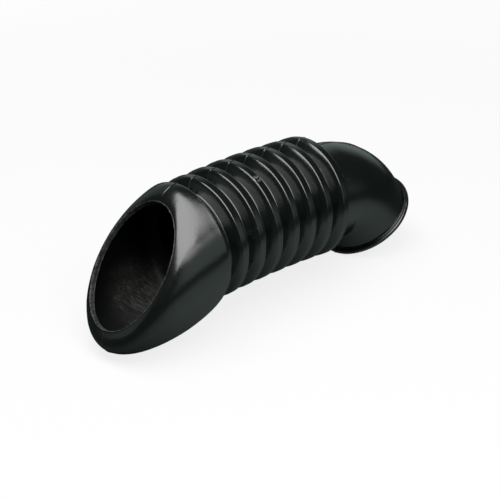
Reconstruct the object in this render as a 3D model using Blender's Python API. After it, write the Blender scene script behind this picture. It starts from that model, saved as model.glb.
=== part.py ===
"""Carburettor bellows: a moulded rubber duct with a slanted hood, seven ribs and a bent neck.

Lengths are in metres. The duct is drawn first in its own frame, with the shoulder of the hood at the
origin, +X along the ribs towards the neck and +Z towards the mould seam on the hood. It is then turned
to the way it lies on a flat surface, with the middle of its box above the origin.
"""

import math

import bmesh
import bpy
from mathutils import Matrix, Vector

# Ribs
RIB_COUNT = 7
RIB_PITCH = 0.01106
CREST_RADIUS = 0.0300
VALLEY_RADIUS = 0.0250
CREST_ROUND = 0.0040
VALLEY_ROUND = 0.0010
RIBS_BEND = math.radians(8.3)

# Thickness of the rubber
WALL = 0.0020

# Hood, between the ribs and the mouth. Its outline is drawn by curves that are pulled towards
# HOOD_PULL across, HOOD_CROWN above, the belly below and the lower lip outwards.
SHOULDER_RADIUS = 0.0308
SHOULDER_ROUND = 0.0016
HOOD_PULL = 0.0615
HOOD_CROWN = 0.0019
BELLY_REACH = 0.0081
BELLY_DROP = 0.0099
LOWER_LIP_REACH = 0.0139
LOWER_LIP_DROP = 0.0209

# Mouth: the opening, and the rim round it
MOUTH_LENGTH = 0.0626
MOUTH_WIDTH = 0.0459
MOUTH_SLANT = math.radians(48.3)
MOUTH_TOP_BACK = 0.0113
MOUTH_TOP_HEIGHT = 0.0255
RIM_FLAT = 0.0008
RIM_DEPTH = 0.0024

# Neck, between the ribs and the end lip
NECK_RADIUS = 0.0241
NECK_END_RADIUS = 0.0237
NECK_START = 0.0092
ELBOW_RADIUS = 0.0279
ELBOW_TURN = math.radians(51.9)
NECK_END = 0.0088
LIP_RADIUS = 0.0256
LIP_LENGTH = 0.0020
LIP_ROUND = 0.0006

# How the duct lies: its roll, and how far the soft rubber flattens where it touches
LIE_ROLL = math.radians(-6.6)
REST_FLAT = 0.0003

# Fineness of the surface
AROUND = 34
HOOD_STEPS = 12
CREST_STEPS = 3
ELBOW_STEPS = 9
SLOPE_STEP = 0.01


class Station:
    """One section of the duct: its centre, the way the duct runs there, its up and its half sizes."""

    def __init__(self, centre, forward, up, half_height, half_width):
        self.centre = centre
        self.forward = forward
        self.up = up
        self.half_height = half_height
        self.half_width = half_width

    def drawn_in(self, depth):
        """The same section with its edge drawn in by a depth, in its own plane."""
        height = self.half_height - depth
        width = self.half_width - depth
        return Station(self.centre, self.forward, self.up, height, width)

    def moved_on(self, distance):
        """The same section at a distance further along the duct."""
        centre = self.centre + self.forward * distance
        half_sizes = (self.half_height, self.half_width)
        return Station(centre, self.forward, self.up, *half_sizes)

    def ring(self):
        side = self.up.cross(self.forward)
        points = []
        for step in range(AROUND):
            angle = math.tau * step / AROUND
            rise = self.up * self.half_height * math.cos(angle)
            points.append(self.centre + rise + side * self.half_width * math.sin(angle))
        return points


def cubic(start, first, second, end, share):
    """A point on a Bezier curve, for numbers or vectors."""
    rest = 1 - share
    return (
        start * rest**3
        + first * 3 * share * rest**2
        + second * 3 * share**2 * rest
        + end * share**3
    )


# Hood


def rim_ends():
    """The top and the bottom of the rim's outer edge, in the plane of the seam."""
    top = Vector((-MOUTH_TOP_BACK, 0, MOUTH_TOP_HEIGHT))
    down = Vector((-math.cos(MOUTH_SLANT), 0, -math.sin(MOUTH_SLANT)))
    return top - down * RIM_FLAT, top + down * (MOUTH_LENGTH + RIM_FLAT)


def hood_station(share):
    """A section of the hood, from the shoulder at share 0 to the rim at share 1."""
    shoulder_top = Vector((0, 0, SHOULDER_RADIUS))
    rim_top, rim_bottom = rim_ends()
    slope = rim_top - shoulder_top
    crown = Vector((slope.z, 0, -slope.x)).normalized() * HOOD_CROWN
    crown_low = shoulder_top + slope / 3 + crown
    crown_out = shoulder_top + slope * 2 / 3 + crown
    belly_low = Vector((-BELLY_REACH, 0, -SHOULDER_RADIUS - BELLY_DROP))
    belly_out = rim_bottom - Vector((LOWER_LIP_REACH, 0, LOWER_LIP_DROP))
    pull = HOOD_PULL / 2
    rim_side = MOUTH_WIDTH / 2 + RIM_FLAT
    top = cubic(shoulder_top, crown_low, crown_out, rim_top, share)
    bottom = cubic(-shoulder_top, belly_low, belly_out, rim_bottom, share)
    half_width = cubic(SHOULDER_RADIUS, pull, pull, rim_side, share)
    up = (top - bottom).normalized()
    forward = Vector((up.z, 0, -up.x))
    half_height = (top - bottom).length / 2
    return Station((top + bottom) / 2, forward, up, half_height, half_width)


def hood_surface(share):
    """(point, outward normal) pairs round a section of the hood."""
    before = hood_station(share + SLOPE_STEP).ring()
    ring = hood_station(share).ring()
    after = hood_station(share - SLOPE_STEP).ring()
    surface = []
    for step, point in enumerate(ring):
        along = after[step] - before[step]
        around = ring[(step + 1) % AROUND] - ring[step - 1]
        surface.append((point, along.cross(around).normalized()))
    return surface


def hood_lining(share):
    """A ring of the hood's inside, a wall's thickness in from the outside."""
    return [point - normal * WALL for point, normal in hood_surface(share)]


# Ribs


def ribs_length():
    return RIB_COUNT * RIB_PITCH


def ribs_station(along, radius):
    """A round section at a distance along the ribs, whose middle line bends down on one arc."""
    bend_radius = ribs_length() / RIBS_BEND
    turn = along / bend_radius
    centre = Vector((math.sin(turn), 0, math.cos(turn) - 1)) * bend_radius
    forward = Vector((math.cos(turn), 0, -math.sin(turn)))
    up = Vector((math.sin(turn), 0, math.cos(turn)))
    return Station(centre, forward, up, radius, radius)


def flank_slope(crest, rounding, valley):
    """How steeply the straight flank falls from a crest's rounding to a valley's."""
    fall = crest - rounding - valley - VALLEY_ROUND
    across = math.hypot(RIB_PITCH / 2, fall)
    lean = math.asin((rounding + VALLEY_ROUND) / across)
    return lean + math.atan2(fall, RIB_PITCH / 2)


def half_rib(crest, rounding, valley, inset, crest_steps):
    """(along, radius) points from a crest's top to the valley's bottom half a pitch on.

    The profile is an arc over the crest, a straight flank and an arc through the valley. Inset draws
    it in by the wall, where a sharp crest comes to a plain corner.
    """
    slope = flank_slope(crest, rounding, valley)
    crest_round = rounding - inset
    crest_middle = crest - rounding
    valley_round = VALLEY_ROUND + inset
    valley_middle = valley + VALLEY_ROUND
    points = [(0.0, crest_middle + crest_round / math.cos(slope))]
    if crest_round > 0:
        angles = [slope * step / crest_steps for step in range(crest_steps + 1)]
        points = [
            (crest_round * math.sin(a), crest_middle + crest_round * math.cos(a))
            for a in angles
        ]
    along = RIB_PITCH / 2 - valley_round * math.sin(slope)
    points.append((along, valley_middle - valley_round * math.cos(slope)))
    points.append((RIB_PITCH / 2, valley_middle - valley_round))
    return points


def ribs_profile(inset, crest_steps):
    """(along, radius) points over the ribs, from the first valley to the neck."""
    points = []
    for rib in range(1, RIB_COUNT + 1):
        middle = rib * RIB_PITCH
        last_valley = VALLEY_RADIUS if rib < RIB_COUNT else NECK_RADIUS
        front = half_rib(CREST_RADIUS, CREST_ROUND, VALLEY_RADIUS, inset, crest_steps)
        back = half_rib(CREST_RADIUS, CREST_ROUND, last_valley, inset, crest_steps)
        points += [(middle - along, radius) for along, radius in front[-2::-1]]
        points += [(middle + along, radius) for along, radius in back[1:]]
    return points


def shoulder_profile(inset):
    """(along, radius) points from the shoulder's edge to the first valley."""
    points = half_rib(SHOULDER_RADIUS, SHOULDER_ROUND, VALLEY_RADIUS, inset, 1)
    return points if inset else points[2:]


def shoulder_rings():
    """Rings over the shoulder's rounded edge, which leaves the hood at the hood's own slope."""
    slope = flank_slope(SHOULDER_RADIUS, SHOULDER_ROUND, VALLEY_RADIUS)
    rings = []
    for share in (0.0, 0.5, 1.0):
        ring = []
        for step, (_, normal) in enumerate(hood_surface(0.0)):
            lean = math.asin(normal.x)
            angle = lean + (slope - lean) * share
            along = SHOULDER_ROUND * math.sin(angle)
            radius = SHOULDER_RADIUS - SHOULDER_ROUND * (1 - math.cos(angle))
            ring.append(ribs_station(along, radius).ring()[step])
        rings.append(ring)
    return rings


# Neck


def neck_stations():
    """Round sections of the neck: a short straight, the elbow and a short straight to the lip."""
    start = ribs_station(ribs_length() + RIB_PITCH / 2, NECK_RADIUS)
    down = -start.up
    length = NECK_START + ELBOW_RADIUS * ELBOW_TURN + NECK_END
    corner = start.centre + start.forward * NECK_START
    stations = []

    def add(turn, run, along):
        forward = start.forward * math.cos(turn) + down * math.sin(turn)
        up = start.forward * math.sin(turn) - down * math.cos(turn)
        bent = start.forward * math.sin(turn) + down * (1 - math.cos(turn))
        centre = corner + bent * ELBOW_RADIUS + forward * run
        radius = NECK_RADIUS + (NECK_END_RADIUS - NECK_RADIUS) * along / length
        stations.append(Station(centre, forward, up, radius, radius))

    add(0.0, -NECK_START / 2, NECK_START / 2)
    for step in range(ELBOW_STEPS + 1):
        turn = ELBOW_TURN * step / ELBOW_STEPS
        add(turn, 0.0, NECK_START + ELBOW_RADIUS * turn)
    add(ELBOW_TURN, NECK_END, length)
    return stations


def lip_stations():
    """The small lip round the neck's end, from the neck outwards to the end face."""
    end = neck_stations()[-1]
    proud = LIP_RADIUS - end.half_height
    return [
        end.drawn_in(-LIP_ROUND / 2),
        end.drawn_in(LIP_ROUND - proud),
        end.drawn_in(-proud).moved_on(LIP_ROUND),
        end.drawn_in(-proud).moved_on(LIP_LENGTH - LIP_ROUND),
        end.drawn_in(LIP_ROUND - proud).moved_on(LIP_LENGTH),
    ]


# Whole duct


def outer_rings():
    """Rings of the outside, from the rim's outer edge to the end face."""
    hood = [hood_station(step / HOOD_STEPS) for step in range(HOOD_STEPS, 0, -1)]
    ribs = shoulder_profile(0.0) + ribs_profile(0.0, CREST_STEPS)
    stations = [ribs_station(*point) for point in ribs] + neck_stations() + lip_stations()
    rings = [station.ring() for station in hood] + shoulder_rings()
    return rings + [station.ring() for station in stations]


def inner_rings():
    """Rings of the inside, from the rim's inner edge to the end face."""
    opening = hood_station(1.0).drawn_in(RIM_FLAT)
    rings = [opening.ring(), opening.moved_on(RIM_DEPTH).ring()]
    rings += [hood_lining(step / HOOD_STEPS) for step in range(HOOD_STEPS - 1, 1, -1)]
    ribs = shoulder_profile(WALL) + ribs_profile(WALL, 1)
    rings += [ribs_station(*point).ring() for point in ribs]
    neck = [station.drawn_in(WALL) for station in neck_stations()]
    neck[-1] = neck[-1].moved_on(LIP_LENGTH)
    return rings + [station.ring() for station in neck]


def skinned(rings):
    """A mesh of the rings joined in turn, and the last to the first, so that its wall is closed."""
    mesh = bmesh.new()
    rings = [[mesh.verts.new(point) for point in ring] for ring in rings]
    for ring, following in zip(rings, rings[1:] + rings[:1]):
        for step in range(AROUND):
            after = (step + 1) % AROUND
            mesh.faces.new((ring[step], ring[after], following[after], following[step]))
    bmesh.ops.recalc_face_normals(mesh, faces=mesh.faces)
    return mesh


def lowest(mesh, low_x, high_x):
    """The lowest point of the mesh between two places along it."""
    spots = (vert.co for vert in mesh.verts if low_x <= vert.co.x <= high_x)
    return min(spots, key=lambda spot: spot.z).copy()


def lie_down(mesh):
    """Lays the duct on its hood and its lip, on z = 0 with the middle of its box above the origin."""
    mesh.transform(Matrix.Rotation(LIE_ROLL, 4, "X"))
    for _ in range(4):
        gap = lowest(mesh, ribs_length(), math.inf) - lowest(mesh, -math.inf, 0.0)
        mesh.transform(Matrix.Rotation(math.atan2(gap.z, gap.x), 4, "Y"))
    low = Vector([min(vert.co[axis] for vert in mesh.verts) for axis in range(3)])
    high = Vector([max(vert.co[axis] for vert in mesh.verts) for axis in range(3)])
    middle = (low + high) / 2
    drop = Vector((-middle.x, -middle.y, -low.z - REST_FLAT))
    mesh.transform(Matrix.Translation(drop))
    for vert in mesh.verts:
        vert.co.z = max(vert.co.z, 0.0)


def rubber():
    material = bpy.data.materials.new("black_rubber")
    material.use_nodes = True
    shader = material.node_tree.nodes["Principled BSDF"]
    shader.inputs["Base Color"].default_value = (0.012, 0.016, 0.016, 1.0)
    shader.inputs["Roughness"].default_value = 0.4
    shader.inputs["Metallic"].default_value = 0.0
    return material


def bellows():
    mesh = skinned(outer_rings() + inner_rings()[::-1])
    lie_down(mesh)
    data = bpy.data.meshes.new("bellows")
    mesh.to_mesh(data)
    mesh.free()
    data.shade_smooth()
    data.set_sharp_from_angle(angle=math.radians(50))
    data.materials.append(rubber())
    piece = bpy.data.objects.new("bellows", data)
    bpy.context.scene.collection.objects.link(piece)


for obj in list(bpy.data.objects):
    bpy.data.objects.remove(obj, do_unlink=True)
bellows()
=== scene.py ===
"""Carburettor bellows: the looks of the moulded rubber, on a white table below broad soft lamps.

Lengths are in metres. The duct is drawn in its own frame, with the shoulder of the hood at the origin,
+X along the ribs and +Z towards the upper mould seam, and is then laid down where the plain solid lies.
"""

import math

import bpy
import numpy as np
from mathutils import Euler, Matrix


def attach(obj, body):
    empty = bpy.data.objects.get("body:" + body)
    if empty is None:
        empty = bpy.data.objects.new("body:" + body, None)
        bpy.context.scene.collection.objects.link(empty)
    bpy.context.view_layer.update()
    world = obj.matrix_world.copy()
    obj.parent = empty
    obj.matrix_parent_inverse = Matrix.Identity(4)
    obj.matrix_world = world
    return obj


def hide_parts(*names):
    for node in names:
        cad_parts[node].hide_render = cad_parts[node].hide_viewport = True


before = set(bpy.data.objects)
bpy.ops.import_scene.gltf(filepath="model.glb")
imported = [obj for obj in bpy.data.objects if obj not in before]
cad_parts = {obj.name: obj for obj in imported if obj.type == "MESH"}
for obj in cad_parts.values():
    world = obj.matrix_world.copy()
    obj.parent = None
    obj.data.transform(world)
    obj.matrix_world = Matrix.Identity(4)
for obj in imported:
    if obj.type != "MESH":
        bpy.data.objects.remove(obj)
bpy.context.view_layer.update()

# Ribs
RIB_COUNT = 7
RIB_PITCH = 0.01106
CREST_RADIUS = 0.0300
VALLEY_RADIUS = 0.0250
CREST_ROUND = 0.0040
VALLEY_ROUND = 0.0010
CREST_LAND = 0.0024
CREST_EDGE = 0.0011
CREST_EDGE_TURN = math.radians(44)
FACE_ROUND = 0.0060
CREST_STEPS = 6
RIBS_BEND = math.radians(8.3)
BEND_RADIUS = RIB_COUNT * RIB_PITCH / RIBS_BEND
WALL = 0.0020

# Hood
SHOULDER_RADIUS = 0.0308
SHOULDER_ROUND = 0.0016
HOOD_PULL = 0.0615
HOOD_CROWN = 0.0019
BELLY_REACH = 0.0081
BELLY_DROP = 0.0099
LOWER_LIP_REACH = 0.0139
LOWER_LIP_DROP = 0.0209

# Mouth
MOUTH_LENGTH = 0.0626
MOUTH_WIDTH = 0.0459
MOUTH_SLANT = math.radians(48.3)
MOUTH_TOP_BACK = 0.0113
MOUTH_TOP_HEIGHT = 0.0255
RIM_FLAT = 0.0008

# Unevenness of the rim
FLASH_HEIGHT = 0.0003
FLASH_UNEVENNESS = 0.45
RAGGEDNESS = 0.00009
CHIPPING = 0.00016

# Rings of the flash: how deep from the rim's edge, how many flashes high and how ragged
FLASH = (
    (0.00004, 0.00, 0.0),
    (0.00012, 0.25, 0.3),
    (0.00022, 0.80, 0.7),
    (0.00032, 1.00, 1.0),
    (0.00044, 0.75, 1.0),
    (0.00056, 0.00, 1.0),
    (0.00070, -0.9, 1.0),
)

# Rings of the cut face: how deep from the rim's edge, how far behind it and how chipped
CUT_FACE = ((0.00084, 0.0007, 0.9), (0.00080, 0.0012, -0.6), (0.00084, 0.0017, 0.9))

# Rings of the flash inside: how deep from the rim's edge, how far behind it and how ragged
INNER_FLASH = (
    (0.00086, 0.00205, 1.0),
    (0.00102, 0.00220, 1.0),
    (0.00108, 0.00238, 1.0),
    (0.00095, 0.00255, 1.0),
    (0.00070, 0.00262, 1.0),
)

# Rings of the rim, counted from the inner one, where its paler parts begin and end
CUT_FACE_START, FLASH_START, FLASH_END = 3, 9, 13
CUT_FACE_PALENESS = 0.6

# Neck
NECK_RADIUS = 0.0241
NECK_END_RADIUS = 0.0237
NECK_START = 0.0092
ELBOW_RADIUS = 0.0279
ELBOW_TURN = math.radians(51.9)
NECK_END = 0.0088
LIP_RADIUS = 0.0256
LIP_LENGTH = 0.0020
LIP_ROUND = 0.0006

# Groove before the lip, and the edge of the bore: how high over the neck and how far past its end
LIP_GROOVE = ((-0.00012, -0.0006), (-0.00018, -0.0003), (-0.00010, -0.00005))
BORE_EDGE = (
    (-0.00175, 0.0020),
    (-0.00193, 0.00193),
    (-0.0020, 0.00175),
    (-0.0020, 0.0010),
    (-0.0020, 0.0),
)

# Mould seam
SEAM_HEIGHT = 0.00022
SEAM_HALF_WIDTH = 0.00026

# Points of a quarter section: how far the first are from the seam, and how many more there are
SEAM_POINTS = (0.0, 0.00010, 0.00020, 0.00030, 0.00045, 0.00070)
QUARTER_POINTS = 33

# How close two points are joined into one
MERGE_DISTANCE = 0.00002

# A small bump on the last rib, in the duct's own frame
BUMP = (0.0800, -0.0036, 0.0243)
BUMP_HEIGHT = 0.0007
BUMP_WIDTH = 0.0009

# How the duct lies
LIE_ROLL = math.radians(-6.6)
LIE_TURN = math.radians(-2.540)
LIE_SHIFT = (-0.042731, 0.000118, 0.038879)

# Marks of making and use, and one painted sheen, with how far each reaches
SCRATCHED, SCRATCHED_REACH = (-0.0545, 0.0170, 0.0100), 0.024
SCRATCH_SLANT = (math.radians(-56), 0, math.radians(27))
SCRATCH_LENGTH = 16.0
NICK, NICK_REACH = (-0.0093, -0.0138, 0.0658), 0.0026
# Rubbed patches on the ribs and the hood's top; the last one, low on the elbow, is a painted sheen
RUBBED_AND_SHEEN_SPOTS = (
    ((0.0199, -0.0115, 0.0605), 0.0040),
    ((0.0322, -0.0162, 0.0580), 0.0034),
    ((-0.0526, -0.0056, 0.0667), 0.0030),
    ((0.0477, -0.0234, 0.0272), 0.0050),
)

# Colours of the rubber
SKIN_BLACK = (0.0024, 0.0042, 0.0038, 1)
SKIN_BLOOM = (0.0044, 0.0068, 0.0062, 1)
SKIN_GRAIN = (0.010, 0.013, 0.0125, 1)
SCUFF_GREY = (0.060, 0.057, 0.052, 1)
# Grey of the rubbed patches, also of the painted sheen low on the elbow
RUBBED_AND_SHEEN_GREY = (0.055, 0.051, 0.046, 1)
TORN_GREY = (0.260, 0.270, 0.260, 1)
SEAM_GREY = (0.075, 0.080, 0.076, 1)
LINING_BLACK = (0.0030, 0.0035, 0.0032, 1)
LINING_GRAIN = (0.0066, 0.0076, 0.0071, 1)
WORN_GREY = (0.020, 0.022, 0.0205, 1)
SCRATCH_GREY = (0.150, 0.146, 0.136, 1)
CUT_GREY = (0.150, 0.156, 0.150, 1)

# Rubber: how it refracts, how much the skin and the lining mirror and how deep their grain is
RUBBER_IOR = 1.6
SKIN_MIRRORING, SKIN_GRAIN_DEPTH = 1.0, 0.00006
LINING_MIRRORING, LINING_GRAIN_DEPTH = 0.22, 0.00008

# Table, with how it glows to the camera: in its middle, far out, and from where to where that grows
TABLE_RADIUS = 1.3
TABLE_TOP = -0.0001
TABLE_CORNERS = 96
TABLE_SEEN = (0.19, 0.19, 0.19, 1)
TABLE_GLOW = (0.82, 0.98)
TABLE_GLOW_FADE = (0.25, 0.8)

# Table as the rubber mirrors it: a painted pool of light round one spot, dull beyond
TABLE_PAINTED_POOL = (0.26, 0.31, 0.295, 1)
TABLE_DULL = (0.042, 0.050, 0.047, 1)
PAINTED_POOL_SPOT = (0.022, -0.06, 0.0)
PAINTED_POOL_FADE = (0.07, 0.155)

# Room: its dim light, and the pale walls by azimuth, elevation, spread in degrees and brightness
DIM_LIGHT = 0.034
ROOM_TINT = (0.84, 1.0, 0.95, 1)
PALE_WALLS = ((-70, 12, 30, 0.32), (35, 6, 35, 0.42), (80, 14, 32, 0.16), (155, 6, 32, 0.17))

# Lamps, facing down: name, place across, turn in degrees, width, depth and how bright each looks
LAMP_HEIGHT = 1.0
LAMPS = (
    ("ceiling_softbox", (-0.178, -0.332), 6.4, 0.77, 1.78, 3.2),
    ("softbox_front", (0.10, -1.36), -24, 0.85, 0.26, 1.9),
    ("softbox_front_edge", (0.26, -1.62), -24, 0.75, 0.30, 1.3),
)

# Camera, with its turns in degrees
LENS, SENSOR_WIDTH = 122.4, 36.0
CAMERA_PLACE = (-0.50084, -0.53300, 0.40625)
CAMERA_TURNS = (62.141, 0.922, -43.626)

# Unevenness of the moulding
WAVER_HEIGHT = 0.00014
WAVER_SCALE = 70.0
SEED = 7


# Sections


class Section:
    """A section of the duct: its centre, the way the duct runs, its up and its half sizes."""

    def __init__(self, centre, forward, up, half_height, half_width):
        self.centre = np.asarray(centre, float)
        self.forward = np.asarray(forward, float)
        self.up = np.asarray(up, float)
        self.half_height = half_height
        self.half_width = half_width

    def ring(self, proud=0.0, ahead=0.0):
        """Points round the section, moved outwards and along by a number or by one for each."""
        side = np.cross(self.up, self.forward)
        high = (self.half_height + proud) * np.cos(AROUND)
        wide = (self.half_width + proud) * np.sin(AROUND)
        along = np.broadcast_to(ahead, AROUND.shape)
        points = self.centre + np.outer(high, self.up) + np.outer(wide, side)
        return points + np.outer(along, self.forward)


def angles_around():
    """Angles round a section, from the upper seam, closer together beside both seams."""
    beside = np.array(SEAM_POINTS) / CREST_RADIUS
    rest = np.linspace(beside[-1], math.pi / 2, QUARTER_POINTS + 1)[1:]
    quarter = np.concatenate([beside, rest])
    half = np.concatenate([quarter, math.pi - quarter[-2::-1]])
    return np.concatenate([half, math.tau - half[-2:0:-1]])


AROUND = angles_around()
FROM_SEAM = np.minimum.reduce([AROUND, abs(AROUND - math.pi), math.tau - AROUND]) * CREST_RADIUS
SEAM_SHARE = np.exp(-((FROM_SEAM / SEAM_HALF_WIDTH) ** 2))
SEAM = SEAM_HEIGHT * SEAM_SHARE


def ripple(seed, waves):
    """A smooth uneven line round a section, from about -1 to 1, of up to so many waves."""
    count = 14
    usual_height = 3.6
    dice = np.random.default_rng(seed)
    turns = dice.integers(waves // 3, waves, count)
    starts = dice.uniform(0, math.tau, count)
    line = sum(np.sin(turn * AROUND + start) for turn, start in zip(turns, starts))
    return line / usual_height


def cubic(start, first, second, end, share):
    """A point on a cubic curve that leaves its start and end towards two others."""
    rest = 1 - share
    curve = start * rest**3 + first * 3 * share * rest**2
    return curve + second * 3 * share**2 * rest + end * share**3


# Hood


def hood_section(share):
    """A section of the hood, from the shoulder at share 0 to the rim at share 1."""
    shoulder_top = np.array([0, 0, SHOULDER_RADIUS])
    down = np.array([-math.cos(MOUTH_SLANT), 0, -math.sin(MOUTH_SLANT)])
    rim_top = np.array([-MOUTH_TOP_BACK, 0, MOUTH_TOP_HEIGHT]) - down * RIM_FLAT
    rim_bottom = rim_top + down * (MOUTH_LENGTH + 2 * RIM_FLAT)
    slope = rim_top - shoulder_top
    crown = np.array([slope[2], 0, -slope[0]]) / np.linalg.norm(slope) * HOOD_CROWN
    crown_low = shoulder_top + slope / 3 + crown
    crown_out = shoulder_top + slope * 2 / 3 + crown
    belly_low = np.array([-BELLY_REACH, 0, -SHOULDER_RADIUS - BELLY_DROP])
    belly_out = rim_bottom - np.array([LOWER_LIP_REACH, 0, LOWER_LIP_DROP])
    pull = HOOD_PULL / 2
    top = cubic(shoulder_top, crown_low, crown_out, rim_top, share)
    bottom = cubic(-shoulder_top, belly_low, belly_out, rim_bottom, share)
    half_width = cubic(SHOULDER_RADIUS, pull, pull, MOUTH_WIDTH / 2 + RIM_FLAT, share)
    height = np.linalg.norm(top - bottom)
    up = (top - bottom) / height
    return Section((top + bottom) / 2, (up[2], 0, -up[0]), up, height / 2, half_width)


def hood_normals(share):
    """The outward normals round a section of the hood."""
    step = 0.005
    along = hood_section(share - step).ring() - hood_section(share + step).ring()
    ring = hood_section(share).ring()
    around = np.roll(ring, -1, axis=0) - np.roll(ring, 1, axis=0)
    normals = np.cross(along, around)
    return normals / np.linalg.norm(normals, axis=1, keepdims=True)


def rim_rings():
    """Rings over the rim: its flat, the flash at its edge, the cut face and the flash inside."""
    rim = hood_section(1.0)
    flash = FLASH_HEIGHT * (1 + FLASH_UNEVENNESS * ripple(3, 40)).clip(0.25, 2.0)
    ragged = RAGGEDNESS * ripple(5, 60)
    chipped = CHIPPING * ripple(11, 90).clip(0, 2)
    rings = [rim.ring()]
    for depth, height, share in FLASH:
        rings.append(rim.ring(ragged * share - depth, -flash * height))
    for profile, rough in ((CUT_FACE, chipped), (INNER_FLASH, ragged)):
        for depth, behind, share in profile:
            rings.append(rim.ring(rough * share - depth, behind))
    return rings


# Ribs


def ribs_section(along, radius):
    """A round section at a distance along the ribs, whose middle line bends down on one arc."""
    turn = along / BEND_RADIUS
    centre = np.array([math.sin(turn), 0, math.cos(turn) - 1]) * BEND_RADIUS
    up = (math.sin(turn), 0, math.cos(turn))
    return Section(centre, (math.cos(turn), 0, -math.sin(turn)), up, radius, radius)


def arc(centre, radius, start, end, steps):
    """(along, radius) points of an arc over a crest, or in a valley where its radius is negative."""
    turns = np.linspace(start, end, steps)
    return [(centre[0] + radius * math.sin(a), centre[1] + radius * math.cos(a)) for a in turns]


def tangent_slope(centre, rounding, valley):
    """How steeply the flank falls that touches both a rounding and the valley's."""
    run = RIB_PITCH / 2 - centre[0]
    fall = centre[1] - valley - VALLEY_ROUND
    return math.asin((rounding + VALLEY_ROUND) / math.hypot(run, fall)) + math.atan2(fall, run)


def half_rib(valley=VALLEY_RADIUS):
    """(along, radius) points outside a rib: its flat land, tight edge, bowed face and the valley."""
    edge = np.array([CREST_LAND / 2, CREST_RADIUS - CREST_EDGE])
    lean = np.array([math.sin(CREST_EDGE_TURN), math.cos(CREST_EDGE_TURN)])
    face = edge - lean * (FACE_ROUND - CREST_EDGE)
    slope = tangent_slope(face, FACE_ROUND, valley)
    points = [(0.0, CREST_RADIUS), (CREST_LAND / 4, CREST_RADIUS)]
    points += arc(edge, CREST_EDGE, 0, CREST_EDGE_TURN, 9)
    points += arc(face, FACE_ROUND, CREST_EDGE_TURN, slope, 5)[1:]
    return points + arc((RIB_PITCH / 2, valley + VALLEY_ROUND), -VALLEY_ROUND, slope, 0, 6)


def plain_half(crest, rounding, valley, inset=0.0):
    """(along, radius) points of a plainly rounded half rib, set in by a thickness for its lining."""
    slope = tangent_slope((0.0, crest - rounding), rounding, valley)
    points = arc((0.0, crest - rounding), rounding - inset, 0, slope, CREST_STEPS)
    if rounding <= inset:
        points = [(0.0, crest - rounding + (rounding - inset) / math.cos(slope))]
    valley_round = -VALLEY_ROUND - inset
    return points + arc((RIB_PITCH / 2, valley + VALLEY_ROUND), valley_round, slope, 0, 4)


def whole_rib(last_valley=VALLEY_RADIUS):
    """(along, radius) points outside a rib from valley to valley, with its crest at 0."""
    return [(-along, radius) for along, radius in half_rib()[:0:-1]] + half_rib(last_valley)


def rib_lining(last_valley=VALLEY_RADIUS):
    """(along, radius) points inside a rib from valley to valley, with its crest at 0."""
    front = plain_half(CREST_RADIUS, CREST_ROUND, VALLEY_RADIUS, WALL)
    back = plain_half(CREST_RADIUS, CREST_ROUND, last_valley, WALL)
    return [(-along, radius) for along, radius in front[:0:-1]] + back


def shoulder_rings():
    """Rings over the shoulder's edge, which leaves the hood at the hood's own slope."""
    middle = (0.0, SHOULDER_RADIUS - SHOULDER_ROUND)
    slope = tangent_slope(middle, SHOULDER_ROUND, VALLEY_RADIUS)
    lean = np.arcsin(hood_normals(0.0)[:, 0])
    rings = []
    for share in np.linspace(0, 1, 9):
        angle = lean + (slope - lean) * share
        turn = SHOULDER_ROUND * np.sin(angle) / BEND_RADIUS
        radius = SHOULDER_RADIUS - SHOULDER_ROUND * (1 - np.cos(angle)) + SEAM
        high = BEND_RADIUS + radius * np.cos(AROUND)
        columns = (high * np.sin(turn), radius * np.sin(AROUND), high * np.cos(turn) - BEND_RADIUS)
        rings.append(np.stack(columns, axis=1))
    return rings


# Neck


def neck_sections(steps):
    """Round sections of the neck: a short straight, the elbow and a short straight to the lip."""
    start = ribs_section((RIB_COUNT + 0.5) * RIB_PITCH, NECK_RADIUS)
    down = -start.up
    length = NECK_START + ELBOW_RADIUS * ELBOW_TURN + NECK_END
    corner = start.centre + start.forward * NECK_START
    sections = []

    def add(turn, run, along):
        forward = start.forward * math.cos(turn) + down * math.sin(turn)
        up = start.forward * math.sin(turn) - down * math.cos(turn)
        bent = start.forward * math.sin(turn) + down * (1 - math.cos(turn))
        centre = corner + bent * ELBOW_RADIUS + forward * run
        radius = NECK_RADIUS + (NECK_END_RADIUS - NECK_RADIUS) * along / length
        sections.append(Section(centre, forward, up, radius, radius))

    for share in (0.12, 0.3, 0.5, 0.75):
        add(0.0, NECK_START * (share - 1), NECK_START * share)
    for turn in np.linspace(0, ELBOW_TURN, steps):
        add(turn, 0.0, NECK_START + ELBOW_RADIUS * turn)
    for share in (0.25, 0.5, 0.75, 0.92, 1.0):
        add(ELBOW_TURN, NECK_END * share, length - NECK_END * (1 - share))
    return sections


def lip_rings():
    """Rings over the lip: the groove before it, its rounded edge and the flat end face."""
    end = neck_sections(2)[-1]
    rise = LIP_RADIUS - NECK_END_RADIUS
    profile = [*LIP_GROOVE, (0.0004, 0.0)]
    for a in np.linspace(-math.pi / 2, 0, 5):
        profile.append((rise - LIP_ROUND * (1 - math.cos(a)), LIP_ROUND * (1 + math.sin(a))))
    for a in np.linspace(0, math.pi / 2, 5):
        ahead = LIP_LENGTH - LIP_ROUND * (1 - math.sin(a))
        profile.append((rise - LIP_ROUND * (1 - math.cos(a)), ahead))
    profile += [(0.0006, LIP_LENGTH), (-0.0004, LIP_LENGTH), (-0.0014, LIP_LENGTH)]
    rings = [end.ring(proud + SEAM * (proud > 0), ahead) for proud, ahead in profile]
    return rings + [end.ring(proud, ahead) for proud, ahead in BORE_EDGE]


# Meshes


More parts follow.
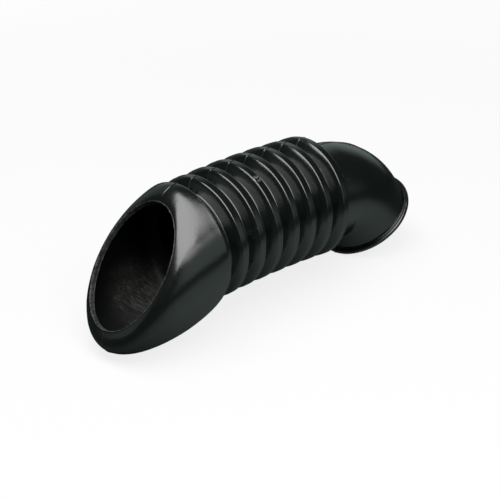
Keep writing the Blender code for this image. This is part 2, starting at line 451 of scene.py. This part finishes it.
def tube(name, strips):
    """A mesh object of strips of rings, each (rings, inside, trimmed), marked so and at the seam."""
    points, faces = [], []
    marks = {"inside": [], "trimmed": [], "seam": []}
    count = len(AROUND)
    for rings, inside, trimmed in strips:
        first = len(points) * count
        points += rings
        marks["inside"] += [float(inside)] * (len(rings) * count)
        marks["trimmed"] += [float(trimmed)] * (len(rings) * count)
        marks["seam"] += [*(SEAM_SHARE * (1 - inside))] * len(rings)
        for row in range(len(rings) - 1):
            here = first + row * count + np.arange(count)
            after = first + row * count + (np.arange(count) + 1) % count
            faces += np.stack([here, after, after + count, here + count], axis=1).tolist()
    mesh = bpy.data.meshes.new(name)
    mesh.from_pydata(np.concatenate(points).tolist(), [], faces)
    for mark, values in marks.items():
        mesh.attributes.new(mark, "FLOAT", "POINT").data.foreach_set("value", values)
    piece = bpy.data.objects.new(name, mesh)
    bpy.context.scene.collection.objects.link(piece)
    return piece


def hood_tube():
    """The hood with its rim, its shoulder and the half rib behind the shoulder."""
    near_rim = 1 - np.array([0.002, 0.006, 0.012, 0.02, 0.03, 0.042, 0.055])
    shares = np.concatenate([near_rim, np.linspace(0.93, 0.02, 54), [0.01]])
    outside = [hood_section(share).ring(SEAM) for share in shares] + shoulder_rings()
    behind = plain_half(SHOULDER_RADIUS, SHOULDER_ROUND, VALLEY_RADIUS)[CREST_STEPS:]
    outside += [ribs_section(*point).ring(SEAM) for point in behind]
    lining = []
    for share in np.linspace(0.05, 0.965, 30):
        thickness = hood_normals(share) * WALL
        lining.append(hood_section(share).ring() - thickness)
    inner_half = plain_half(SHOULDER_RADIUS, SHOULDER_ROUND, VALLEY_RADIUS, WALL)
    inside = [ribs_section(*point).ring() for point in inner_half[::-1]] + lining
    rim = rim_rings()[::-1]
    strips = [
        (inside + rim[: CUT_FACE_START + 1], True, 0),
        (rim[CUT_FACE_START : FLASH_START + 1], True, CUT_FACE_PALENESS),
        (rim[FLASH_START : FLASH_END + 1], True, 1),
        (rim[FLASH_END:], True, 0),
        (rim[-1:] + outside, False, 0),
    ]
    return tube("hood", strips)


def rib_tube():
    """One plain rib, straight, outside and inside."""

    def straight(along, radius):
        return Section((along, 0, 0), (1, 0, 0), (0, 0, 1), radius, radius)

    outside = [straight(*point).ring(SEAM) for point in whole_rib()]
    inside = [straight(*point).ring() for point in rib_lining()[::-1]]
    return tube("rib", [(outside, False, 0), (inside, True, 0)])


def neck_tube():
    """The last rib, which runs out into the neck, with the elbow and the lip."""
    middle = RIB_COUNT * RIB_PITCH
    last = [(middle + a, r) for a, r in whole_rib(NECK_RADIUS)]
    inner_last = [(middle + a, r) for a, r in rib_lining(NECK_RADIUS)]
    outside = [ribs_section(*point).ring(SEAM) for point in last]
    outside += [section.ring(SEAM) for section in neck_sections(34)] + lip_rings()
    inside = [section.ring(-WALL) for section in neck_sections(14)[:-1]][::-1]
    inside += [ribs_section(*point).ring() for point in inner_last[::-1]]
    return tube("neck", [(outside, False, 0), (lip_rings()[-1:] + inside, True, 0)])


# Nodes


class Value:
    """A node's output. Python's operators on it add the Math nodes that they stand for."""

    def __init__(self, tree, socket):
        self.tree = tree
        self.socket = socket

    def maths(self, operation, *values, clamp=False):
        """What a Math node makes of some values."""
        settings = {"operation": operation, "use_clamp": clamp}
        return self.tree.add("ShaderNodeMath", settings, dict(enumerate(values)))

    def __add__(self, other):
        return self.maths("ADD", self, other)

    __radd__ = __add__

    def __sub__(self, other):
        return self.maths("SUBTRACT", self, other)

    def __rsub__(self, other):
        return self.maths("SUBTRACT", other, self)

    def __mul__(self, other):
        return self.maths("MULTIPLY", self, other)

    __rmul__ = __mul__

    def __truediv__(self, other):
        return self.maths("DIVIDE", self, other)

    def sine(self):
        return self.maths("SINE", self)

    def cosine(self):
        return self.maths("COSINE", self)

    def clamped(self):
        """The same value, kept from 0 to 1."""
        return self.maths("ADD", self, 0.0, clamp=True)


class Tree:
    """A node tree that nodes are added to by type, settings and the values or links of inputs."""

    def __init__(self, nodes_owner):
        self.made = nodes_owner

    def add(self, kind, settings=None, inputs=None, output=0):
        """A new node's output. Its settings come first, then its inputs by number or by name."""
        node = self.made.nodes.new(kind)
        for name, value in (settings or {}).items():
            setattr(node, name, value)
        for name, value in (inputs or {}).items():
            if isinstance(value, Value):
                self.made.links.new(value.socket, node.inputs[name])
            else:
                node.inputs[name].default_value = value
        return Value(self, node.outputs[output])

    def link(self, value, node, socket):
        """Links a value to a node that the tree already had."""
        self.made.links.new(value.socket, node.inputs[socket])

    def apart(self, place, spot):
        """How far a place is from a spot."""
        inputs = {0: place, 1: spot}
        return self.add("ShaderNodeVectorMath", {"operation": "DISTANCE"}, inputs, "Value")

    def mix(self, share, first, second):
        """A colour between two others."""
        settings = {"data_type": "RGBA"}
        return self.add("ShaderNodeMix", settings, {0: share, 6: first, 7: second}, 2)

    def between(self, value, low, high):
        """0 below low, 1 above high, smooth between."""
        settings = {"interpolation_type": "SMOOTHSTEP"}
        inputs = {"Value": value, "From Min": low, "From Max": high}
        return self.add("ShaderNodeMapRange", settings, inputs)

    def mark(self, name):
        """A number that is marked on the mesh."""
        return self.add("ShaderNodeAttribute", {"attribute_name": name}, output="Fac")

    def around(self, place, spot, reach):
        """1 near a spot, 0 beyond its reach, smooth between."""
        return 1 - self.between(self.apart(place, spot), reach * 0.3, reach)

    def noise(self, place, scale, detail, roughness=0.5):
        """Smooth noise, from about 0.3 to 0.7."""
        inputs = {"Vector": place, "Scale": scale, "Detail": detail, "Roughness": roughness}
        return self.add("ShaderNodeTexNoise", None, inputs)

    def stretched(self, place, scale, turn):
        """The place in turned axes, drawn out along each of them by its scale."""
        inputs = {"Vector": place, "Scale": scale, "Rotation": turn}
        return self.add("ShaderNodeMapping", {"vector_type": "TEXTURE"}, inputs)


def moulding_tree():
    """The tree that sets the ribs in a row, bends them, joins the hood and neck and covers all."""
    group = bpy.data.node_groups.new("moulded_bellows", "GeometryNodeTree")
    tree = Tree(group)
    sockets = (
        ("Hood", "NodeSocketGeometry"),
        ("Rib", "NodeSocketObject"),
        ("Neck", "NodeSocketObject"),
        ("Plain Ribs", "NodeSocketInt"),
        ("Rib Pitch", "NodeSocketFloat"),
        ("Bend Radius", "NodeSocketFloat"),
        ("Waver Height", "NodeSocketFloat"),
        ("Waver Scale", "NodeSocketFloat"),
        ("Seed", "NodeSocketFloat"),
        ("Skin", "NodeSocketMaterial"),
        ("Lining", "NodeSocketMaterial"),
    )
    for name, kind in sockets:
        group.interface.new_socket(name, in_out="INPUT", socket_type=kind)
    group.interface.new_socket("Bellows", in_out="OUTPUT", socket_type="NodeSocketGeometry")
    names = group.nodes.new("NodeGroupInput")
    given = {name: Value(tree, names.outputs[name]) for name, _ in sockets}

    step = tree.add("ShaderNodeCombineXYZ", None, {"X": given["Rib Pitch"]})
    line = {"Count": given["Plain Ribs"], "Start Location": step, "Offset": step}
    row = tree.add("GeometryNodeMeshLine", {"mode": "OFFSET"}, line)
    rib = tree.add("GeometryNodeObjectInfo", None, {"Object": given["Rib"]}, "Geometry")
    copies = tree.add("GeometryNodeInstanceOnPoints", None, {"Points": row, "Instance": rib})
    straight = tree.add("GeometryNodeRealizeInstances", None, {"Geometry": copies})

    place = tree.add("GeometryNodeInputPosition")
    along, across, height = (
        tree.add("ShaderNodeSeparateXYZ", None, {"Vector": place}, axis) for axis in "XYZ"
    )
    radius = given["Bend Radius"]
    turn = along / radius
    reach = height + radius
    bent = {"X": reach * turn.sine(), "Y": across, "Z": reach * turn.cosine() - radius}
    bent = tree.add("ShaderNodeCombineXYZ", None, bent)
    ribs = tree.add("GeometryNodeSetPosition", None, {"Geometry": straight, "Position": bent})

    neck = tree.add("GeometryNodeObjectInfo", None, {"Object": given["Neck"]}, "Geometry")
    joined = group.nodes.new("GeometryNodeJoinGeometry")
    for part in (neck, ribs, given["Hood"]):
        group.links.new(part.socket, joined.inputs[0])
    whole = {"Geometry": Value(tree, joined.outputs[0]), "Distance": MERGE_DISTANCE}
    whole = tree.add("GeometryNodeMergeByDistance", None, whole)

    drift = tree.add("ShaderNodeCombineXYZ", None, {"X": given["Seed"]})
    moved = tree.add("ShaderNodeVectorMath", {"operation": "ADD"}, {0: place, 1: drift})
    swell = (tree.noise(moved, given["Waver Scale"], 1.0) - 0.5) * 2 * given["Waver Height"]
    offset = {0: tree.add("GeometryNodeInputNormal"), "Scale": swell}
    offset = tree.add("ShaderNodeVectorMath", {"operation": "SCALE"}, offset)
    uneven = tree.add("GeometryNodeSetPosition", None, {"Geometry": whole, "Offset": offset})
    real = tree.add("GeometryNodeRealizeInstances", None, {"Geometry": uneven})
    skinned = {"Geometry": real, "Material": given["Skin"]}
    skinned = tree.add("GeometryNodeSetMaterial", None, skinned)
    within = tree.add("GeometryNodeInputNamedAttribute", None, {"Name": "inside"})
    lined = {"Geometry": skinned, "Selection": within, "Material": given["Lining"]}
    lined = tree.add("GeometryNodeSetMaterial", None, lined)
    tree.link(lined, group.nodes.new("NodeGroupOutput"), 0)
    return group


# Rubber


def black_rubber(name, level):
    """A black rubber as mirroring as its level, its colour and grain to come, with its place."""
    material = bpy.data.materials.new(name)
    material.use_nodes = True
    tree = Tree(material.node_tree)
    shader = material.node_tree.nodes["Principled BSDF"]
    shader.inputs["Specular IOR Level"].default_value = level
    shader.inputs["IOR"].default_value = RUBBER_IOR
    place = tree.add("ShaderNodeTexCoord", output="Object")
    return material, tree, place, shader


def dress(tree, shader, colour, roughness, relief, strength, depth):
    """Links a rubber's colour, its roughness and the relief of its grain."""
    tree.link(colour, shader, "Base Color")
    tree.link(roughness.clamped(), shader, "Roughness")
    relief = {"Strength": strength, "Distance": depth, "Height": relief}
    tree.link(tree.add("ShaderNodeBump", None, relief), shader, "Normal")


def rubber_skin():
    """The outer skin: satin black with a greenish bloom, fine grain, a seam, scuffs, rubbed patches
    with one painted sheen, and a nick.
    """
    material, tree, place, shader = black_rubber("black_rubber", SKIN_MIRRORING)
    cloud = tree.between(tree.noise(place, 38.0, 4.0, 0.6), 0.35, 0.7)
    fine = tree.noise(place, 900.0, 3.0, 0.6)
    mottle = tree.between(tree.noise(place, 420.0, 4.0, 0.65), 0.46, 0.68)
    spots = tree.between(tree.noise(place, 75.0, 3.0, 0.55), 0.64, 0.76)
    scuffs = (spots * mottle).clamped()
    # Rubbed patches, the one low on the elbow a painted sheen
    rubbed_and_sheen = sum(tree.around(place, spot, reach) for spot, reach in RUBBED_AND_SHEEN_SPOTS)
    rubbed_and_sheen = (rubbed_and_sheen * (0.3 + mottle * 0.7)).clamped()
    torn = tree.between(tree.noise(place, 1100.0, 3.0, 0.65), 0.46, 0.56)
    nick = tree.around(place, NICK, NICK_REACH) * torn
    seam = tree.mark("seam") * tree.between(tree.noise(place, 160.0, 3.0, 0.6), 0.40, 0.60)

    colour = tree.mix(cloud, SKIN_BLACK, SKIN_BLOOM)
    colour = tree.mix(fine * 0.25, colour, SKIN_GRAIN)
    colour = tree.mix(scuffs * 0.5, colour, SCUFF_GREY)
    colour = tree.mix(rubbed_and_sheen * 0.5, colour, RUBBED_AND_SHEEN_GREY)
    colour = tree.mix(nick, colour, TORN_GREY)
    colour = tree.mix(seam * 0.30, colour, SEAM_GREY)
    rough = 0.18 + cloud * 0.05 + (fine - 0.5) * 0.12 + (scuffs + rubbed_and_sheen + seam) * 0.15
    grain = tree.noise(place, 2600.0, 2.0, 0.6) * 0.5 + fine + scuffs * 0.4 + nick * 2
    dents = tree.noise(place, 260.0, 2.0) * 1.2
    dress(tree, shader, colour, rough, grain + dents, 0.35, SKIN_GRAIN_DEPTH)
    return material


def rubber_lining():
    """The lining: duller, scratched on its lower wall, with the rim's cut face and flash."""
    material, tree, place, shader = black_rubber("black_rubber_lining", LINING_MIRRORING)
    fine = tree.noise(place, 900.0, 3.0, 0.6)
    worn = tree.around(place, SCRATCHED, SCRATCHED_REACH)
    slanted = tree.stretched(place, (1.0, 1.0, SCRATCH_LENGTH), SCRATCH_SLANT)
    streaks = tree.between(tree.noise(slanted, 2400.0, 2.0, 0.6), 0.42, 0.70)
    patch = tree.between(tree.noise(place, 90.0, 3.0, 0.6), 0.30, 0.64)
    scratches = streaks * patch * worn
    mottle = tree.between(tree.noise(place, 700.0, 3.0, 0.65), 0.34, 0.66)
    cut = tree.mark("trimmed") * (0.12 + mottle * 0.88)

    colour = tree.mix(fine, LINING_BLACK, LINING_GRAIN)
    colour = tree.mix(worn * 0.6, colour, WORN_GREY)
    colour = tree.mix(scratches * 0.9, colour, SCRATCH_GREY)
    colour = tree.mix(cut, colour, CUT_GREY)
    rough = 0.40 + (fine - 0.5) * 0.2 + scratches * 0.1
    dress(tree, shader, colour, rough, fine + scratches, 0.5, LINING_GRAIN_DEPTH)
    return material


# The whole duct


def laid_down(points):
    """The duct's own points, where the duct lies."""
    lie = Matrix.Rotation(LIE_TURN, 3, "Y") @ Matrix.Rotation(LIE_ROLL, 3, "X")
    return points @ np.array(lie).T + np.array(LIE_SHIFT)


def near(points, spot, width):
    """1 at a spot, falling smoothly to 0 at about twice the width from it."""
    apart = np.linalg.norm(points - np.array(spot), axis=1)
    return np.exp(-((apart / width) ** 2))


def rows_of(items, name):
    """A vector of each of a mesh's items, such as each point's place, as rows."""
    values = np.empty(len(items) * 3)
    items.foreach_get(name, values)
    return values.reshape(-1, 3)


def handled(mesh):
    """Raises the small bump, lays the duct down and flattens it where it touches the table."""
    points = rows_of(mesh.vertices, "co")
    normals = rows_of(mesh.vertex_normals, "vector")
    points += normals * (BUMP_HEIGHT * near(points, BUMP, BUMP_WIDTH))[:, None]
    points = laid_down(points)
    points[:, 2] = points[:, 2].clip(0.0, None)
    mesh.vertices.foreach_set("co", points.ravel())
    mesh.update()


def bellows():
    """The whole duct as one plain mesh, standing for the plain solid."""
    hood, rib, neck = hood_tube(), rib_tube(), neck_tube()
    group = moulding_tree()
    modifier = hood.modifiers.new("moulding", "NODES")
    modifier.node_group = group
    values = {
        "Rib": rib,
        "Neck": neck,
        "Plain Ribs": RIB_COUNT - 1,
        "Rib Pitch": RIB_PITCH,
        "Bend Radius": BEND_RADIUS,
        "Waver Height": WAVER_HEIGHT,
        "Waver Scale": WAVER_SCALE,
        "Seed": float(SEED),
        "Skin": rubber_skin(),
        "Lining": rubber_lining(),
    }
    for socket in group.interface.items_tree:
        if socket.name in values:
            modifier[socket.identifier] = values[socket.name]
    graph = bpy.context.evaluated_depsgraph_get()
    mesh = bpy.data.meshes.new_from_object(hood.evaluated_get(graph), depsgraph=graph)
    mesh.name = "moulded_rubber"
    for helper in (hood, rib, neck):
        bpy.data.objects.remove(helper, do_unlink=True)
    handled(mesh)
    mesh.shade_smooth()
    piece = bpy.data.objects.new("moulded_rubber", mesh)
    bpy.context.scene.collection.objects.link(piece)
    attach(piece, "root")
    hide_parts("bellows")


# Table, light and camera


def white_table():
    """A table that the camera sees white, with its shadow, and that the rubber mirrors as grey with a
    painted pool of light round one spot.
    """
    material = bpy.data.materials.new("white_table")
    material.use_nodes = True
    tree = Tree(material.node_tree)
    tree.made.nodes.remove(tree.made.nodes["Principled BSDF"])
    seen = tree.add("ShaderNodeLightPath", output="Is Camera Ray")
    place = tree.add("ShaderNodeTexCoord", output="Object")
    away = tree.add("ShaderNodeVectorMath", {"operation": "LENGTH"}, {0: place}, "Value")
    # A painted pool of light on the table as the rubber mirrors it, dull beyond
    from_spot = tree.between(tree.apart(place, PAINTED_POOL_SPOT), *PAINTED_POOL_FADE)
    mirrored = tree.mix(from_spot, TABLE_PAINTED_POOL, TABLE_DULL)
    colour = tree.mix(seen, mirrored, TABLE_SEEN)
    matt = tree.add("ShaderNodeBsdfDiffuse", None, {"Color": colour})
    near_glow, far_glow = TABLE_GLOW
    glow = near_glow + tree.between(away, *TABLE_GLOW_FADE) * (far_glow - near_glow)
    glow = tree.add("ShaderNodeEmission", None, {"Strength": seen * glow})
    both = tree.add("ShaderNodeAddShader", None, {0: matt, 1: glow})
    tree.link(both, tree.made.nodes["Material Output"], "Surface")
    return material


def table():
    """A round table top below the object."""
    turns = np.linspace(0, math.tau, TABLE_CORNERS + 1)[:-1]
    ring = [(math.cos(turn), math.sin(turn)) for turn in turns]
    points = [(x * TABLE_RADIUS, y * TABLE_RADIUS, TABLE_TOP) for x, y in ring]
    mesh = bpy.data.meshes.new("table")
    mesh.from_pydata(points, [], [range(len(points))])
    mesh.materials.append(white_table())
    top = bpy.data.objects.new("table", mesh)
    bpy.context.scene.collection.objects.link(top)


def lamps():
    """The broad soft lamps above and in front."""
    for name, (x, y), turn, width, depth, radiance in LAMPS:
        light = bpy.data.lights.new(name, "AREA")
        light.shape = "RECTANGLE"
        light.size = width
        light.size_y = depth
        light.energy = radiance * math.pi * width * depth
        holder = bpy.data.objects.new(name, light)
        holder.location = (x, y, LAMP_HEIGHT)
        holder.rotation_euler = (0, 0, math.radians(turn))
        bpy.context.scene.collection.objects.link(holder)


def room():
    """A dim room with paler walls, which the rubber mirrors, seen as white by the camera alone."""
    world = bpy.data.worlds.new("room")
    world.use_nodes = True
    tree = Tree(world.node_tree)
    seen = tree.add("ShaderNodeLightPath", output="Is Camera Ray")
    way = tree.add("ShaderNodeTexCoord", output="Generated")
    light = DIM_LIGHT
    for azimuth, elevation, spread, brightness in PALE_WALLS:
        around, rise = math.radians(azimuth), math.radians(elevation)
        level = math.cos(rise)
        aim = (level * math.cos(around), level * math.sin(around), math.sin(rise))
        facing = {0: way, 1: aim}
        facing = tree.add("ShaderNodeVectorMath", {"operation": "DOT_PRODUCT"}, facing, "Value")
        edge = math.cos(math.radians(spread))
        light = light + tree.between(facing, edge, 1.0) * brightness
    dim = tree.made.nodes["Background"]
    dim.inputs["Color"].default_value = ROOM_TINT
    tree.link(light, dim, "Strength")
    white = tree.add("ShaderNodeBackground", None, {"Color": (1, 1, 1, 1)})
    shown = {0: seen, 1: Value(tree, dim.outputs[0]), 2: white}
    shown = tree.add("ShaderNodeMixShader", None, shown)
    tree.link(shown, tree.made.nodes["World Output"], "Surface")
    bpy.context.scene.world = world


def camera():
    """The camera of the photograph: a long lens from the front left, above."""
    data = bpy.data.cameras.new("camera")
    data.lens = LENS
    data.sensor_width = SENSOR_WIDTH
    data.clip_start = 0.01
    data.clip_end = 10.0
    holder = bpy.data.objects.new("camera", data)
    holder.location = CAMERA_PLACE
    holder.rotation_euler = Euler([math.radians(turn) for turn in CAMERA_TURNS], "XYZ")
    bpy.context.scene.collection.objects.link(holder)
    bpy.context.scene.camera = holder


bellows()
table()
lamps()
room()
camera()
bpy.context.scene.view_settings.view_transform = "Standard"
